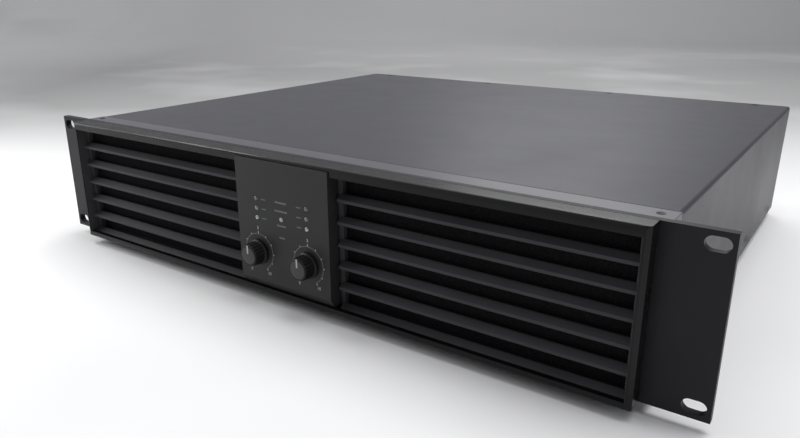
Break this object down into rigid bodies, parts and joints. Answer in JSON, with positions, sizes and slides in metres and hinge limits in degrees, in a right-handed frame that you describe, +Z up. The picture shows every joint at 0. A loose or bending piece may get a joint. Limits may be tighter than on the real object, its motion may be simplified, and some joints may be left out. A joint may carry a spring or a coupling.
{
  "type": "pa power amplifier",
  "caption": "Rack-mounted PA power amplifier with louvred front grilles, gain knobs and a fan-cooled case.",
  "frame": {"origin": "under the middle of the whole amplifier, on the plane that its four feet stand on", "axes": "+X to the right seen from the front, +Y from the front to the back, +Z up"},
  "size_m": [0.4826, 0.415, 0.0941],
  "materials": {
    "panel_paint": "satin black powder coat",
    "bezel_plastic": "satin charcoal moulding",
    "filter_foam": "open-cell black foam",
    "module_plastic": "satin dark grey moulding",
    "knob_plastic": "satin black moulding",
    "clear_plastic": "smooth clear moulding",
    "circuit_board": "green solder mask with white marks",
    "black_plastic": "satin black moulding",
    "red_plastic": "smooth red moulding",
    "zinc_steel": "zinc plated",
    "cover_paint": "fine-textured charcoal powder coat",
    "foot_rubber": "matt black rubber",
    "socket_metal": "black die-cast shell",
    "latch_nickel": "satin nickel plate",
    "winding_tape": "amber polyester tape",
    "heatsink_aluminium": "mill-finish extrusion",
    "capacitor_sleeve": "dark blue shrink sleeve",
    "ribbon_grey": "grey ribbon with a coloured edge"
  },
  "bodies": {
    "chassis": {"base_tray": "cover_paint", "breaker_body": "black_plastic", "bridge_rectifier": "black_plastic", "capacitor_1": "capacitor_sleeve", "capacitor_2": "capacitor_sleeve", "capacitor_3": "capacitor_sleeve", "capacitor_4": "capacitor_sleeve", "control_panel": "module_plastic", "display_board": "circuit_board", "fan_frame": "black_plastic", "fan_guard": "zinc_steel", "filter_left": "filter_foam", "filter_right": "filter_foam", "foot_front_left": "foot_rubber", "foot_front_right": "foot_rubber", "foot_rear_left": "foot_rubber", "foot_rear_right": "foot_rubber", "front_bezel": "bezel_plastic", "front_frame": "cover_paint", "gain_pot_a": "black_plastic", "gain_pot_b": "black_plastic", "heatsink_a": "heatsink_aluminium", "heatsink_b": "heatsink_aluminium", "input_board": "circuit_board", "input_socket_a": "socket_metal", "input_socket_b": "socket_metal", "light_pipe_a": "clear_plastic", "light_pipe_b": "clear_plastic", "louvre_left": "bezel_plastic", "louvre_right": "bezel_plastic", "mains_inlet": "black_plastic", "mode_switch": "black_plastic", "output_board_a": "circuit_board", "output_board_b": "circuit_board", "power_supply_board": "circuit_board", "power_switch_body": "black_plastic", "rack_panel": "panel_paint", "rear_panel": "cover_paint", "ribbon_cable": "ribbon_grey", "speaker_terminal_a": "black_plastic", "speaker_terminal_b": "black_plastic", "top_cover": "cover_paint", "toroid_transformer": "winding_tape", "transformer_clamp": "zinc_steel"},
    "gain_control_a": {"gain_knob_a": "knob_plastic", "pot_shaft_a": "zinc_steel"},
    "gain_control_b": {"gain_knob_b": "knob_plastic", "pot_shaft_b": "zinc_steel"},
    "power_rocker": {"power_rocker": "black_plastic"},
    "fan_rotor": {"fan_rotor": "black_plastic"},
    "mode_slider": {"mode_slider": "black_plastic"},
    "breaker_button": {"breaker_button": "red_plastic"},
    "socket_latch_a": {"socket_latch_a": "latch_nickel"},
    "socket_latch_b": {"socket_latch_b": "latch_nickel"},
    "terminal_cap_a_minus": {"terminal_cap_a_minus": "black_plastic"},
    "terminal_cap_a_plus": {"terminal_cap_a_plus": "red_plastic"},
    "terminal_cap_b_minus": {"terminal_cap_b_minus": "black_plastic"},
    "terminal_cap_b_plus": {"terminal_cap_b_plus": "red_plastic"}
  },
  "joints": [
    {"name": "gain_a_turn", "type": "hinge", "parent": "chassis", "child": "gain_control_a", "pos_m": [-0.02, -0.2021, 0.034], "axis": [0, 1, 0], "range_deg": [-150, 150]},
    {"name": "gain_b_turn", "type": "hinge", "parent": "chassis", "child": "gain_control_b", "pos_m": [0.02, -0.2021, 0.034], "axis": [0, 1, 0], "range_deg": [-150, 150]},
    {"name": "power_rocker_tip", "type": "hinge", "parent": "chassis", "child": "power_rocker", "pos_m": [-0.144, 0.1822, 0.069], "axis": [1, 0, 0], "range_deg": [0, 14]},
    {"name": "fan_spin", "type": "hinge", "parent": "chassis", "child": "fan_rotor", "pos_m": [0, 0.1699, 0.05005], "axis": [0, 1, 0], "continuous": true},
    {"name": "mode_slide", "type": "slide", "parent": "chassis", "child": "mode_slider", "axis": [1, 0, 0], "range_m": [-0.004, 0.004]},
    {"name": "breaker_trip", "type": "slide", "parent": "chassis", "child": "breaker_button", "axis": [0, 1, 0], "range_m": [0, 0.004]},
    {"name": "latch_a_press", "type": "slide", "parent": "chassis", "child": "socket_latch_a", "axis": [0, -1, 0], "range_m": [0, 0.0015], "stiffness_N_per_m": 600, "springref_m": -0.001},
    {"name": "latch_b_press", "type": "slide", "parent": "chassis", "child": "socket_latch_b", "axis": [0, -1, 0], "range_m": [0, 0.0015], "stiffness_N_per_m": 600, "springref_m": -0.001},
    {"name": "terminal_cap_a_minus_turn", "type": "hinge", "parent": "chassis", "child": "terminal_cap_a_minus", "pos_m": [-0.098, 0.1995, 0.05005], "axis": [0, 1, 0], "continuous": true},
    {"name": "terminal_cap_a_plus_turn", "type": "hinge", "parent": "chassis", "child": "terminal_cap_a_plus", "pos_m": [-0.079, 0.1995, 0.05005], "axis": [0, 1, 0], "continuous": true},
    {"name": "terminal_cap_b_minus_turn", "type": "hinge", "parent": "chassis", "child": "terminal_cap_b_minus", "pos_m": [0.079, 0.1995, 0.05005], "axis": [0, 1, 0], "continuous": true},
    {"name": "terminal_cap_b_plus_turn", "type": "hinge", "parent": "chassis", "child": "terminal_cap_b_plus", "pos_m": [0.098, 0.1995, 0.05005], "axis": [0, 1, 0], "continuous": true}
  ]
}
